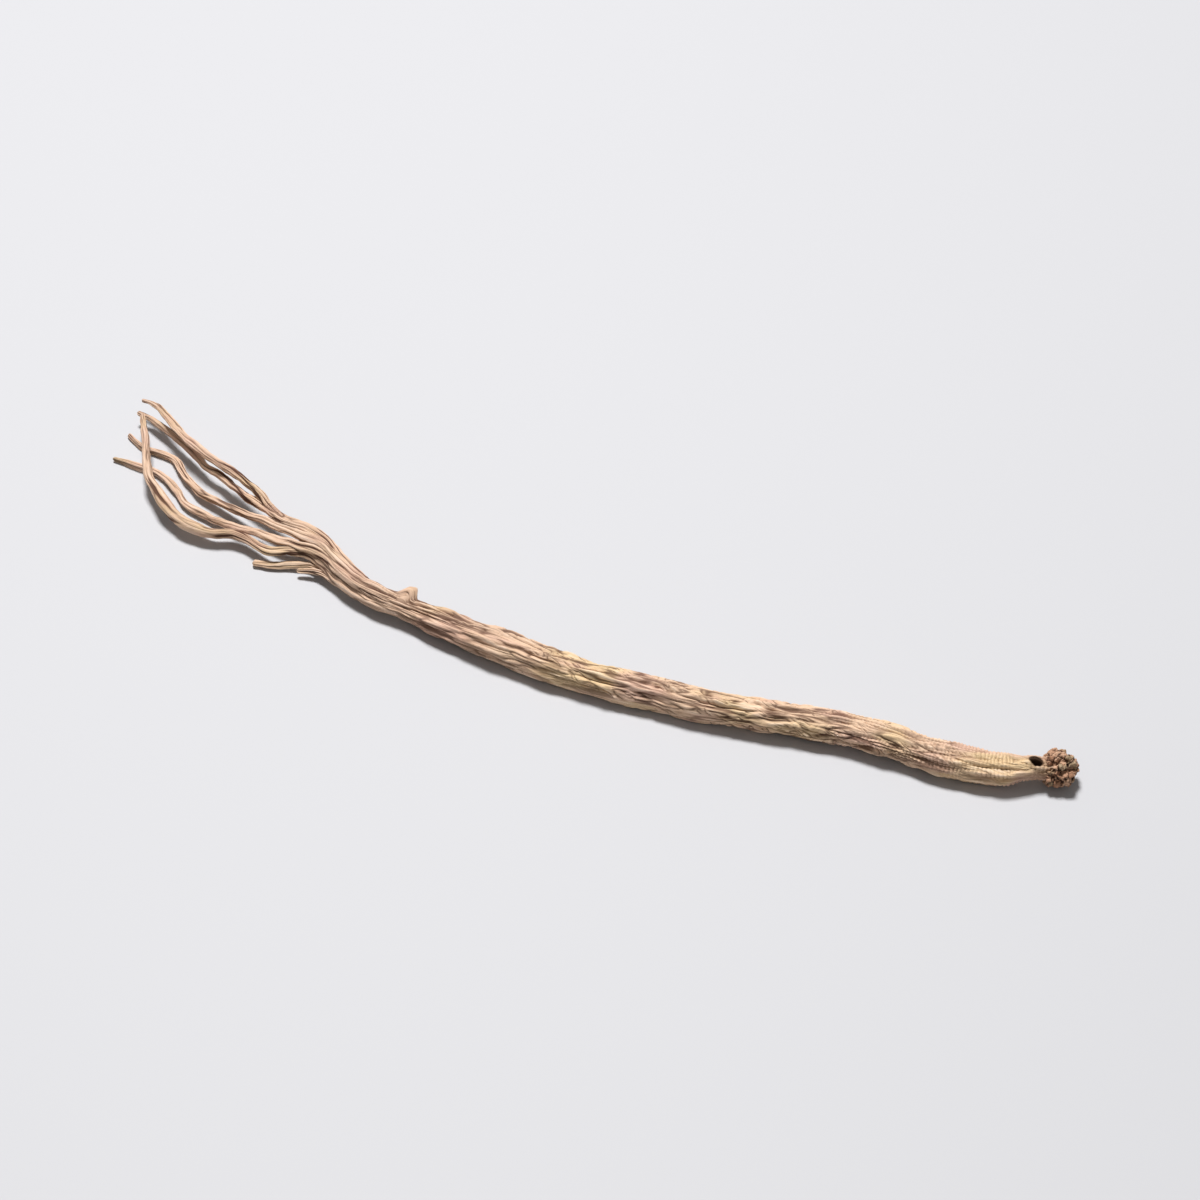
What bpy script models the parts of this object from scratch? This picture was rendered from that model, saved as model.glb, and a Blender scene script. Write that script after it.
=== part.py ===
"""A dried codonopsis root, lying on a flat surface.

The root grew as one piece, so it is one solid. A long furrowed body lies on its side. At +X it
narrows to a neck and swells again into the head, a clump of knobs where stems and buds grew.
Towards -X it thins and parts into long, thin, wavy rootlets. +Z is up, the surface is z = 0, and
the origin is on it, under the middle of the root's box.
"""

import math
import random

import bmesh
import bpy
import numpy as np
from mathutils import Vector

MM = 0.001

# Driving dimensions, in millimetres
BODY_HALF = 5.1  # half the thickness of the body along its middle
ROOTLET_HALF = 1.4  # half the thickness of a rootlet
HEAD_HALF = 4.9  # half the thickness of the head's core, under its knobs
NECK_HALF = 3.4
SURFACE = 0.0  # height of what the root lies on: what would reach lower is flat there
SLIVER = 0.002  # edges shorter than this are closed up
SHARP_ANGLE = 50.0  # degrees: faces that meet at more than this are shaded with an edge

# The body's centreline from the head to the fork: x, y, z and half the thickness, in millimetres
BODY_PATH = (
    (163.0, -22.2, 5.2, 0.25 * HEAD_HALF),
    (161.5, -22.8, 5.2, 0.75 * HEAD_HALF),
    (158.5, -23.8, 5.2, HEAD_HALF),
    (155.0, -25.2, 5.3, HEAD_HALF),
    (151.5, -26.8, 5.6, NECK_HALF),
    (148.0, -28.2, 5.8, NECK_HALF + 0.3),
    (143.0, -29.6, 5.3, 0.93 * BODY_HALF),
    (135.0, -30.8, 5.2, BODY_HALF),
    (121.0, -31.0, 5.3, BODY_HALF),
    (107.0, -29.4, 5.5, BODY_HALF + 0.1),
    (94.0, -29.0, 5.2, BODY_HALF + 0.1),
    (80.0, -29.8, 5.0, BODY_HALF),
    (66.0, -31.4, 5.1, BODY_HALF),
    (50.0, -32.6, 5.0, BODY_HALF),
    (34.0, -32.2, 4.8, BODY_HALF + 0.1),
    (18.0, -32.6, 5.0, BODY_HALF),
    (1.0, -31.2, 5.1, BODY_HALF),
    (-15.0, -28.6, 5.1, BODY_HALF),
    (-33.0, -25.4, 5.0, 0.93 * BODY_HALF),
    (-44.0, -22.8, 4.8, 0.82 * BODY_HALF),
    (-54.0, -21.2, 5.1, 0.70 * BODY_HALF),
    (-65.0, -18.6, 5.3, 0.58 * BODY_HALF),
    (-73.0, -14.2, 6.0, 0.50 * BODY_HALF),
    (-80.0, -9.6, 6.2, 0.36 * BODY_HALF),
    (-86.0, -6.5, 6.4, 0.18 * BODY_HALF),
)

# The rootlets, each from deep inside the body to its tip, the front one first and a mere stub
# last. The last number of a row is half the thickness over ROOTLET_HALF.
ROOTLET_PATHS = (
    (
        (-44, -24.2, 4.8, 1.2),
        (-54, -23.6, 4.8, 1.25),
        (-63, -21.8, 4.7, 1.25),
        (-74, -16.2, 4.7, 1.2),
        (-81, -11.4, 4.8, 1.2),
        (-87, -9.0, 5.0, 1.15),
        (-92, -10.0, 4.9, 1.1),
        (-98, -12.0, 4.6, 1.05),
        (-105, -9.5, 4.4, 1.05),
        (-111, -8.0, 4.4, 1.2),
        (-118, -9.6, 4.4, 1.35),
        (-125, -9.2, 4.5, 1.6),
        (-132, -7.0, 4.9, 1.65),
        (-139.5, -1.4, 5.8, 1.5),
        (-147, 6.0, 6.8, 1.2),
        (-152, 16.0, 7.8, 1.0),
        (-156, 24.0, 8.0, 0.85),
        (-160.5, 32.0, 7.0, 0.6),
    ),
    (
        (-46, -23.6, 6.2, 1.1),
        (-56, -22.2, 7.2, 1.15),
        (-65, -19.8, 7.6, 1.15),
        (-74, -14.9, 7.6, 1.15),
        (-82, -9.9, 7.2, 1.1),
        (-90, -8.0, 6.4, 1.05),
        (-97, -7.0, 5.2, 1.0),
        (-105, -5.0, 4.0, 1.0),
        (-114, -3.5, 3.0, 1.0),
        (-124, -1.0, 2.2, 1.0),
        (-132, 2.0, 1.7, 0.95),
        (-139, 8.0, 1.3, 0.95),
        (-147, 13.0, 1.1, 0.9),
        (-157, 14.5, 1.1, 0.85),
        (-164, 15.0, 1.2, 0.5),
    ),
    (
        (-48, -22.2, 6.4, 1.1),
        (-57, -20.4, 7.4, 1.15),
        (-65, -18.0, 8.0, 1.15),
        (-74, -12.9, 8.2, 1.15),
        (-83, -7.0, 8.0, 1.1),
        (-91, -4.5, 7.4, 1.05),
        (-101, -1.5, 6.0, 1.0),
        (-112, 1.0, 5.0, 1.0),
        (-121, 4.0, 4.0, 1.0),
        (-130, 7.6, 3.0, 1.0),
        (-138, 14.0, 2.1, 0.95),
        (-146, 21.0, 1.4, 0.9),
        (-152, 22.0, 1.1, 0.9),
        (-158, 23.5, 1.1, 0.8),
        (-164, 27.4, 1.2, 0.5),
    ),
    (
        (-46, -22.0, 5.6, 1.1),
        (-56, -19.6, 6.0, 1.15),
        (-64, -16.8, 6.4, 1.2),
        (-73, -11.2, 6.8, 1.2),
        (-81, -5.2, 7.4, 1.2),
        (-90, -1.6, 7.8, 1.15),
        (-98, 0.0, 7.4, 1.15),
        (-107, 4.0, 6.8, 1.1),
        (-115, 8.0, 6.2, 1.05),
        (-123, 13.0, 5.8, 1.0),
        (-132, 17.0, 5.2, 1.0),
        (-139, 22.0, 5.0, 0.95),
        (-145, 26.0, 4.8, 0.9),
        (-152, 30.0, 4.6, 0.85),
        (-159, 33.5, 4.6, 0.75),
        (-163.5, 34.5, 4.6, 0.5),
    ),
    (
        (-98, 0.0, 7.4, 0.9),
        (-104, 3.5, 7.8, 0.95),
        (-112, 9.0, 9.0, 0.95),
        (-120, 13.0, 9.6, 0.95),
        (-128, 16.0, 10.0, 0.9),
        (-136, 20.0, 10.0, 0.9),
        (-143, 24.5, 9.8, 0.85),
        (-151, 31.0, 9.0, 0.8),
        (-158, 36.5, 7.8, 0.7),
        (-163, 38.0, 7.0, 0.45),
    ),
    (
        (-52, -22.6, 3.9, 1.0),
        (-62, -20.6, 3.6, 1.0),
        (-69, -18.0, 3.5, 0.95),
        (-76, -14.4, 3.2, 0.9),
        (-84, -11.9, 2.6, 0.85),
        (-90, -12.4, 1.9, 0.8),
        (-97, -14.6, 1.3, 0.8),
        (-103, -15.2, 1.2, 0.7),
    ),
    (
        (-56, -23.0, 4.0, 0.9),
        (-66, -20.9, 3.9, 0.9),
        (-73, -17.4, 3.7, 0.85),
        (-81, -14.6, 3.2, 0.75),
        (-88, -15.0, 2.6, 0.55),
    ),
    (
        (-51.3, -22.4, 5.5, 2.3),
        (-49.1, -18.9, 8.0, 2.0),
        (-48.0, -17.2, 9.3, 1.25),
    ),
)

# Ridges: how many go round, how they drift round with each millimetre, where they start (both in
# radians), and their height as a share of half the thickness. Their beats fade them in and out.
BODY_RIDGES = (
    (0, 0.31, 0.0, 0.014),
    (0, 0.13, 2.0, 0.016),
    (2, 0.045, 0.5, 0.030),
    (3, -0.060, 2.0, 0.022),
    (8, 0.150, 0.3, 0.042),
    (9, -0.200, 1.1, 0.046),
    (11, 0.110, 4.0, 0.038),
)
ROOTLET_RIDGES = (
    (0, 0.42, 1.0, 0.060),
    (2, 0.050, 0.4, 0.130),
    (3, 0.140, 1.0, 0.080),
)

BODY_SIDES = 34
BODY_RING_GAP = 3.8
ROOTLET_SIDES = 8
ROOTLET_RING_GAP = 4.4

# The head's knobs
HEAD_CENTRE = Vector((157.4, -24.3, 5.2))
HEAD_AXIS = Vector((0.93, 0.36, 0.0))  # from the neck out through the head
KNOB_COUNT = 44
KNOB_HALF = (0.9, 1.8)
KNOB_REACH = 4.7  # from the head's centre to a knob's centre
KNOB_SHIFT = (-0.4, 0.3)  # how much nearer or further than that a knob may be
KNOB_TURN = 0.25  # how far a knob may be turned out of the even spread, in radians
KNOB_COVER = 0.86  # share of the head that knobs cover, from its far end
KNOB_SEED = 5
OLD_SCAR_WAY = Vector((0.80, -0.57, 0.10))  # the widest knob, where the last stem stood
OLD_SCAR_REACH = 4.6
OLD_SCAR_HALF = 2.1
SMALL_BALL = 2.1  # length of the half size along all three axes together

# The hole by which the neck was once strung up to dry
HOLE_PLACE = Vector((151.0, -27.0, 8.2))
HOLE_HALF = Vector((2.1, 1.5, 2.6))


def clear_scene():
    for existing in list(bpy.data.objects):
        bpy.data.objects.remove(existing)


def dried_root_material():
    """Dull yellowish buff skin with no gloss."""
    material = bpy.data.materials.new("dried_root")
    material.use_nodes = True
    shader = material.node_tree.nodes["Principled BSDF"]
    shader.inputs["Base Color"].default_value = (0.58, 0.40, 0.23, 1.0)
    shader.inputs["Roughness"].default_value = 0.85
    shader.inputs["Metallic"].default_value = 0.0
    return material


def smooth_path(points, gap):
    """A smooth curve through the points: distances from its start about one gap apart, the rows of
    x, y, z and half thickness there, and the ways it runs."""
    rows = np.array(points, float)
    steps = np.linalg.norm(np.diff(rows[:, :3], axis=0), axis=1)
    knots = np.concatenate([[0.0], np.cumsum(steps)])
    slopes = np.gradient(rows, knots, axis=0)
    along = np.linspace(0.0, knots[-1], round(knots[-1] / gap) + 1)
    first = np.clip(np.searchsorted(knots, along) - 1, 0, len(knots) - 2)
    span = (knots[first + 1] - knots[first])[:, None]
    t = (along - knots[first])[:, None] / span
    path = (
        (2 * t**3 - 3 * t**2 + 1) * rows[first]
        + (t**3 - 2 * t**2 + t) * span * slopes[first]
        + (3 * t**2 - 2 * t**3) * rows[first + 1]
        + (t**3 - t**2) * span * slopes[first + 1]
    )
    return along.tolist(), path.tolist(), np.gradient(path[:, :3], axis=0).tolist()


def ridge_scale(ridges, along, turn):
    """What the half thickness is multiplied by, at a distance along and an angle round."""
    scale = 1.0
    for count, drift, start, height in ridges:
        scale += height * math.cos(count * turn + drift * along + start)
    return scale


def furrowed_tube(points, gap, sides, ridges):
    """A closed tube along the points. The angle round it starts at the top."""
    along, path, headings = smooth_path(points, gap)
    mesh = bmesh.new()
    rings = []
    for distance, row, heading in zip(along, path, headings):
        centre = Vector(row[:3])
        forward = Vector(heading).normalized()
        side = Vector((0, 0, 1)).cross(forward).normalized()
        top = forward.cross(side)
        ring = []
        for k in range(sides):
            turn = 2 * math.pi * k / sides
            reach = row[3] * ridge_scale(ridges, distance, turn)
            place = centre + reach * (math.cos(turn) * top + math.sin(turn) * side)
            ring.append(mesh.verts.new(place * MM))
        rings.append(ring)
    for ring, following in zip(rings, rings[1:]):
        for k in range(sides):
            after = (k + 1) % sides
            mesh.faces.new((ring[k], ring[after], following[after], following[k]))
    mesh.faces.new(reversed(rings[0]))
    mesh.faces.new(rings[-1])
    bmesh.ops.triangulate(mesh, faces=mesh.faces)
    bmesh.ops.recalc_face_normals(mesh, faces=mesh.faces)
    return mesh


def head_knobs():
    """Knobs spread evenly over the head, save where the neck comes in."""
    chance = random.Random(KNOB_SEED)
    golden_turn = math.pi * (3 - math.sqrt(5))
    axis = HEAD_AXIS.normalized()
    side = Vector((0, 0, 1)).cross(axis)
    for k in range(KNOB_COUNT):
        forward = 1 - 2 * KNOB_COVER * (k + 0.5) / KNOB_COUNT
        outward = math.sqrt(1 - forward**2)
        turn = k * golden_turn + chance.uniform(-KNOB_TURN, KNOB_TURN)
        way = forward * axis + outward * (math.cos(turn) * side + math.sin(turn) * Vector((0, 0, 1)))
        half = Vector.Fill(3, chance.uniform(*KNOB_HALF))
        place = HEAD_CENTRE + (KNOB_REACH + chance.uniform(*KNOB_SHIFT)) * way
        yield place, half
    yield HEAD_CENTRE + OLD_SCAR_REACH * OLD_SCAR_WAY.normalized(), Vector.Fill(3, OLD_SCAR_HALF)


def ball(place, half):
    """A round lump, with few faces where it is small."""
    mesh = bmesh.new()
    bmesh.ops.create_icosphere(mesh, subdivisions=1 if half.length < SMALL_BALL else 2, radius=1.0)
    for vertex in mesh.verts:
        stretched = Vector([way * reach for way, reach in zip(vertex.co, half)])
        vertex.co = (place + stretched) * MM
    return mesh


def object_from(mesh, name, collection):
    data = bpy.data.meshes.new(name)
    mesh.to_mesh(data)
    mesh.free()
    made = bpy.data.objects.new(name, data)
    collection.objects.link(made)
    return made


def apply_boolean(target, operation, other):
    """Joins to the target, or cuts from it, one object or a collection, which is then removed."""
    boolean = target.modifiers.new(operation.lower(), "BOOLEAN")
    boolean.operation = operation
    boolean.solver = "EXACT"
    if isinstance(other, bpy.types.Collection):
        boolean.operand_type = "COLLECTION"
        boolean.collection = other
    else:
        boolean.object = other
    bpy.context.view_layer.update()
    evaluated = target.evaluated_get(bpy.context.evaluated_depsgraph_get())
    result = bpy.data.meshes.new_from_object(evaluated)
    target.modifiers.clear()
    target.data = result
    if isinstance(other, bpy.types.Collection):
        for member in list(other.objects):
            bpy.data.objects.remove(member)
        bpy.data.collections.remove(other)
    else:
        bpy.data.objects.remove(other)


def flatten_underside(target):
    """Cuts off what would sink into the surface, which leaves the flat spots the root rests on."""
    mesh = bmesh.new()
    mesh.from_mesh(target.data)
    everything = mesh.verts[:] + mesh.edges[:] + mesh.faces[:]
    bmesh.ops.bisect_plane(
        mesh,
        geom=everything,
        dist=1e-6,
        plane_co=(0, 0, SURFACE * MM),
        plane_no=(0, 0, 1),
        clear_inner=True,
    )
    bmesh.ops.dissolve_degenerate(mesh, dist=SLIVER * MM, edges=mesh.edges)
    scraps = [face for face in mesh.faces if all(edge.is_boundary for edge in face.edges)]
    bmesh.ops.delete(mesh, geom=scraps, context="FACES")
    bmesh.ops.holes_fill(mesh, edges=mesh.edges, sides=0)
    bmesh.ops.triangulate(mesh, faces=mesh.faces)
    mesh.to_mesh(target.data)
    mesh.free()


def build_root():
    scene_collection = bpy.context.scene.collection
    body = furrowed_tube(BODY_PATH, BODY_RING_GAP, BODY_SIDES, BODY_RIDGES)
    root = object_from(body, "root", scene_collection)

    grown_on = bpy.data.collections.new("grown_on")
    scene_collection.children.link(grown_on)
    for k, rows in enumerate(ROOTLET_PATHS):
        points = [(x, y, z, share * ROOTLET_HALF) for x, y, z, share in rows]
        rootlet = furrowed_tube(points, ROOTLET_RING_GAP, ROOTLET_SIDES, ROOTLET_RIDGES)
        object_from(rootlet, f"rootlet_{k + 1}", grown_on)
    for k, (place, half) in enumerate(head_knobs()):
        object_from(ball(place, half), f"knob_{k + 1}", grown_on)
    apply_boolean(root, "UNION", grown_on)

    hole = object_from(ball(HOLE_PLACE, HOLE_HALF), "string_hole", scene_collection)
    apply_boolean(root, "DIFFERENCE", hole)

    flatten_underside(root)
    root.data.materials.clear()
    root.data.materials.append(dried_root_material())
    root.data.shade_smooth()
    root.data.set_sharp_from_angle(angle=math.radians(SHARP_ANGLE))
    return root


clear_scene()
build_root()
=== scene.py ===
"""The look of a dried codonopsis root: furrowed skin, a warty head and thin rootlets."""

import math
import random

import bmesh
import bpy
import numpy as np
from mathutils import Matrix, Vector


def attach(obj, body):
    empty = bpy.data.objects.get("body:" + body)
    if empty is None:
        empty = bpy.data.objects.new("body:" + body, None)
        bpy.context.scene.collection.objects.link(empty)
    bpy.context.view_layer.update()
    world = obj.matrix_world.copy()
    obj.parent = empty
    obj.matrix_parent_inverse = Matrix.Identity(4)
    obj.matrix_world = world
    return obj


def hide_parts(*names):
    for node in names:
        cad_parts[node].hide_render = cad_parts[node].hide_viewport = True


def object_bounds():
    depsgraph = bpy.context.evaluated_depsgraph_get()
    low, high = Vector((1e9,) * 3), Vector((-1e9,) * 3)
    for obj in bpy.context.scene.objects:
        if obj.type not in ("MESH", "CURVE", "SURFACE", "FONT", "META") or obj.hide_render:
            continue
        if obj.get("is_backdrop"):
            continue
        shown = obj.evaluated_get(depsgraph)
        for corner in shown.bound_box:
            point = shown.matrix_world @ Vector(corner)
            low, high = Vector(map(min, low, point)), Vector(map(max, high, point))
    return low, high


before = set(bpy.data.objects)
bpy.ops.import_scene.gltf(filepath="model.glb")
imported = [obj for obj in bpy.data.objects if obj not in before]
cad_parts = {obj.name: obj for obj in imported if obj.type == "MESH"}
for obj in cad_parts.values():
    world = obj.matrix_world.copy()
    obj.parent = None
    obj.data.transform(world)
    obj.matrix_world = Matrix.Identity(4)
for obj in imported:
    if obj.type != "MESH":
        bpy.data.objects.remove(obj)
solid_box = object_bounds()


# The view: from a little right of square, halfway between level and straight down, and from so
# far off that the near and far ends of the root look the same size.
MM = 0.001
VIEW_MIDDLE = Vector((5.8, 4.3, 0.0)) * MM
VIEW_TURN = math.radians(18)
VIEW_HEIGHT = math.radians(46)
VIEW_DISTANCE = 1.04
VIEW_LENS = 100
VIEW_SENSOR = 36
NEAREST_SEEN = 0.05
stage_collection = bpy.context.scene.collection

backward = Vector((
    math.sin(VIEW_TURN) * math.cos(VIEW_HEIGHT),
    -math.cos(VIEW_TURN) * math.cos(VIEW_HEIGHT),
    math.sin(VIEW_HEIGHT),
))
camera = bpy.data.objects.new("camera", bpy.data.cameras.new("camera"))
camera.data.lens = VIEW_LENS
camera.data.sensor_width = VIEW_SENSOR
camera.data.clip_start = NEAREST_SEEN
camera.location = VIEW_MIDDLE + VIEW_DISTANCE * backward
camera.rotation_euler = backward.to_track_quat("Z", "Y").to_euler()
stage_collection.objects.link(camera)
bpy.context.scene.camera = camera
bpy.context.scene.view_settings.view_transform = "Standard"


# The body: the thick storage root, which lay along the ground and dried and shrank, so that its
# skin folded into furrows along it. All its sizes are in millimetres until its skin is finished.
BODY_HALF = 5.1
HEAD_HALF = 3.7
NECK_HALF = 3.4
HEAD_CENTRE = Vector((157.4, -24.3, 5.2))
# The middle of the body, from its head to past the fork: x, y, z and half its thickness there
BODY_PATH = (
    (163.0, -22.2, 5.2, 0.25 * HEAD_HALF),
    (161.5, -22.8, 5.2, 0.75 * HEAD_HALF),
    (158.5, -23.8, 5.2, HEAD_HALF),
    (155.0, -25.2, 5.3, HEAD_HALF),
    (151.5, -26.8, 5.6, NECK_HALF),
    (148.0, -28.2, 5.8, NECK_HALF + 0.3),
    (143.0, -29.6, 5.3, 0.93 * BODY_HALF),
    (135.0, -30.8, 5.2, BODY_HALF),
    (121.0, -31.0, 5.3, BODY_HALF),
    (107.0, -29.4, 5.5, BODY_HALF + 0.1),
    (94.0, -29.0, 5.2, BODY_HALF + 0.1),
    (80.0, -29.8, 5.0, BODY_HALF),
    (66.0, -31.4, 5.1, BODY_HALF),
    (50.0, -32.6, 5.0, BODY_HALF),
    (34.0, -32.2, 4.8, BODY_HALF + 0.1),
    (18.0, -32.6, 5.0, BODY_HALF),
    (1.0, -31.2, 5.1, BODY_HALF),
    (-15.0, -28.6, 5.1, BODY_HALF),
    (-33.0, -25.4, 5.0, 0.93 * BODY_HALF),
    (-44.0, -22.8, 4.8, 0.82 * BODY_HALF),
    (-54.0, -21.2, 5.1, 0.70 * BODY_HALF),
    (-65.0, -18.6, 5.3, 0.58 * BODY_HALF),
    (-73.0, -14.2, 6.0, 0.50 * BODY_HALF),
    (-80.0, -9.6, 6.2, 0.36 * BODY_HALF),
    (-86.0, -6.5, 6.4, 0.18 * BODY_HALF),
)
# Main ridges: how many go round, how they drift round with each millimetre, where they start and
# their height as a share of half the thickness
BODY_RIDGES = (
    (0, 0.31, 0.0, 0.014),
    (0, 0.13, 2.0, 0.016),
    (2, 0.045, 0.5, 0.030),
    (3, -0.060, 2.0, 0.022),
    (8, 0.150, 0.3, 0.042),
    (9, -0.200, 1.1, 0.046),
    (11, 0.110, 4.0, 0.038),
)
BODY_SIDES = 160
# The gap between rings by the head, the gap far on, and where it starts to widen
BODY_RINGS = (0.26, 0.64, 70.0)
BODY_FOLD_DEPTH = 1.5
RIPPLE_GAP = 1.15  # between one ripple round the neck and the next
RIPPLES_DEEP_TO = 12.0  # up to here along the root the ripples are as deep as they get
# The skin's colours, first on the body and then past the fork; furrow is painted shade in the
# creases and crest a painted highlight on the tops of the folds
TINTS = {
    "plain": ((232, 199, 170), (222, 189, 163)),
    "yellowed": ((229, 201, 155), (216, 187, 148)),
    "blushing": ((216, 177, 160), (207, 167, 148)),
    "furrow": ((78, 42, 30), (73, 40, 28)),
    "crest": ((247, 223, 198), (243, 216, 195)),
}
FIBRE_BROWN = (200, 158, 122)
SPECK_BROWN = (160, 116, 84)
NECK_BROWN = (150, 108, 86)
# painted shade in sunken places and along seams between strands
HOLLOW_SHADE = (84, 50, 30)
# painted shade inside the string's hole
HOLE_SHADE = (50, 28, 20)
# Between which two places along the root, counted from its head, the skin changes
FADES_BETWEEN = (150.0, 192.0)  # from the first colours to the second
SHALLOW_BETWEEN = (62.0, 16.0)  # to shallower creases, towards the neck
COMBED_BETWEEN = (168.0, 196.0)  # from short crossing folds to long straight ones
POCKET_POINTS = 100  # a closed pocket inside, where strands touch, has fewer points than this
# The stump that a snapped rootlet left, and the hole by which the root was strung up to dry
STUMP_PLACE = Vector((-49.5, -19.5, 7.6))
STUMP_WAY = Vector((0.46, 0.72, 0.52)).normalized()
STUMP_HEIGHT = 3.5
STUMP_HALF = (0.9, 3.7)  # at its end and at its base
HOLE_PLACE = Vector((151.0, -27.0, 8.2))
HOLE_HALF = Vector((2.1, 1.5, 2.8))
LIP_HEIGHT = 0.35


class Wire:
    """A socket in a node tree. Arithmetic on wires and plain numbers adds Math nodes."""

    def __init__(self, tree, socket):
        self.tree = tree
        self.socket = socket

    @staticmethod
    def add(tree, kind, settings=(), sockets=(), out=0):
        """Adds a node: first its settings, then the values or wires that its sockets take."""
        node = tree.nodes.new(kind)
        for name, value in dict(settings).items():
            setattr(node, name, value)
        for name, value in dict(sockets).items():
            if isinstance(value, Wire):
                tree.links.new(value.socket, node.inputs[name])
            else:
                node.inputs[name].default_value = value
        return Wire(tree, node.outputs[out])

    def math(self, operation, *values):
        return Wire.add(self.tree, "ShaderNodeMath", {"operation": operation}, enumerate(values))

    def __add__(self, other):
        return self.math("ADD", self, other)

    def __radd__(self, other):
        return self.math("ADD", other, self)

    def __sub__(self, other):
        return self.math("SUBTRACT", self, other)

    def __rsub__(self, other):
        return self.math("SUBTRACT", other, self)

    def __mul__(self, other):
        return self.math("MULTIPLY", self, other)

    def __rmul__(self, other):
        return self.math("MULTIPLY", other, self)

    def __truediv__(self, other):
        return self.math("DIVIDE", self, other)

    def __rtruediv__(self, other):
        return self.math("DIVIDE", other, self)

    def __pow__(self, other):
        return self.math("POWER", self, other)

    def __abs__(self):
        return self.math("ABSOLUTE", self)

    def least(self, other):
        return self.math("MINIMUM", self, other)

    def most(self, other):
        return self.math("MAXIMUM", self, other)

    def rise(self, low, high):
        """0 up to low, 1 from high on, and smooth between. It falls where high is below low."""
        settings = {"interpolation_type": "SMOOTHSTEP"}
        limits = {"Value": self, "From Min": low, "From Max": high}
        return Wire.add(self.tree, "ShaderNodeMapRange", settings, limits)


def vector_math(operation, first, second=None):
    """Adds a Vector Math node. Dot products, lengths and distances are numbers."""
    sockets = {0: first}
    if second is not None:
        sockets["Scale" if operation == "SCALE" else 1] = second
    out = 1 if operation in ("DOT_PRODUCT", "LENGTH", "DISTANCE") else 0
    settings = {"operation": operation}
    return Wire.add(first.tree, "ShaderNodeVectorMath", settings, sockets, out)


def parts_of(vector):
    node = Wire.add(vector.tree, "ShaderNodeSeparateXYZ", {}, {0: vector}).socket.node
    return [Wire(vector.tree, socket) for socket in node.outputs]


def noise(place, lengths, detail=1.0, roughness=0.5, out=0):
    """Soft noise with lumps about as long as the lengths. Output 1 has three channels."""
    scaled = vector_math("DIVIDE", place, lengths)
    sockets = {"Vector": scaled, "Scale": 1.0, "Detail": detail, "Roughness": roughness}
    return Wire.add(place.tree, "ShaderNodeTexNoise", {}, sockets, out)


def blend(share, first, second, kind="FLOAT"):
    """The first value where the share is 0, the second where it is 1."""
    a, b = {"FLOAT": (2, 3), "VECTOR": (4, 5), "RGBA": (6, 7)}[kind]
    out = {"FLOAT": 0, "VECTOR": 1, "RGBA": 2}[kind]
    sockets = {0: share, a: first, b: second}
    return Wire.add(share.tree, "ShaderNodeMix", {"data_type": kind}, sockets, out)


def folds(place, lengths, sharpness, detail=1.0):
    """Puffy folds: 1 on their round tops and 0 along the sharp furrows between them."""
    level = abs(noise(place, lengths, detail) * 2.0 - 1.0)
    left = 1.0 - (level * sharpness).least(1.0)
    return 1.0 - left * left


def creases(place, lengths, width, detail=0.0):
    """Thin creases: 1 along their bottoms, and 0 away from them. With detail they branch."""
    level = abs(noise(place, lengths, detail) * 2.0 - 1.0)
    return (1.0 - level / width).most(0.0) ** 1.5


def wander(place, lengths, reach):
    """Moves a place about, so that what is laid out by it runs in waves."""
    push = vector_math("SUBTRACT", noise(place, lengths, 1.0, 0.5, out=1), (0.5, 0.5, 0.5))
    return vector_math("ADD", place, vector_math("MULTIPLY", push, reach))


def wound(grain, rate):
    """Winds the grain round the root, by so many radians a millimetre, so that it runs askew."""
    along = parts_of(grain)[0]
    sockets = {"Vector": grain, "Angle": along * rate}
    settings = {"rotation_type": "X_AXIS"}
    return Wire.add(grain.tree, "ShaderNodeVectorRotate", settings, sockets)


def skin_relief(grain):
    """How high the dried skin stands, from 0 in its furrows to 1 on its folds, and how much
    painted shade its creases get. The grain is in millimetres: along the root from its head, then
    twice across it. Near the neck the creases are shallow, and towards the fork the short crossing
    folds give way to long straight ones."""
    along = parts_of(grain)[0]
    combed = along.rise(*COMBED_BETWEEN)
    shallow = along.rise(*SHALLOW_BETWEEN)
    waves = wander(grain, (12.0, 4.6, 4.6), (6.0, 2.8, 2.8))
    askew = wander(wound(grain, 0.075), (6.0, 3.0, 3.0), (5.0, 2.2, 2.2))
    counter = wander(wound(grain, -0.12), (6.0, 3.0, 3.0), (4.4, 2.0, 2.0))
    crumpled = noise(grain, (24.0, 8.0, 8.0)).rise(0.47, 0.64) * (1.0 - combed)
    broad = folds(waves, (30.0, 4.4, 4.4), 3.0)
    long_folds = folds(waves, (17.0, 2.5, 2.5), 3.2)
    short_folds = folds(askew, (6.5, 2.1, 2.1), 3.2)
    main = blend(crumpled * 0.75, long_folds, short_folds)
    kept = noise(grain, (9.0, 2.4, 2.4), 0.0)
    lengthwise = creases(waves, (18.0, 1.7, 1.7), 0.30, 1.0) * kept.rise(0.28, 0.42).most(combed)
    crosswise = creases(askew, (6.0, 1.5, 1.5), 0.32) * kept.rise(0.56, 0.42) * (1.0 - combed)
    counterwise = creases(counter, (5.0, 1.8, 1.8), 0.24) * crumpled
    straight = wander(grain, (22.0, 5.0, 5.0), (6.0, 1.5, 1.5))
    combing = creases(straight, (26.0, 1.3, 1.3), 0.46) * combed * kept.rise(0.28, 0.42)
    cuts = lengthwise.most(crosswise * 0.8).most(counterwise * 0.45) * (1.0 - 0.5 * shallow)
    cuts = cuts.most(combing)
    striae = noise(waves, (6.0, 0.55, 0.55), 1.0).rise(0.3, 0.6).most(shallow * 0.7)
    relief = 0.17 * broad + 0.27 * main + 0.48 * (1.0 - cuts) + 0.08 * striae
    # Painted shade: how dark the creases and low places are coloured.
    crease_shade = (cuts.rise(0.15, 0.85) * 0.85).most(relief.rise(0.40, 0.06))
    return relief, crease_shade


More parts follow.
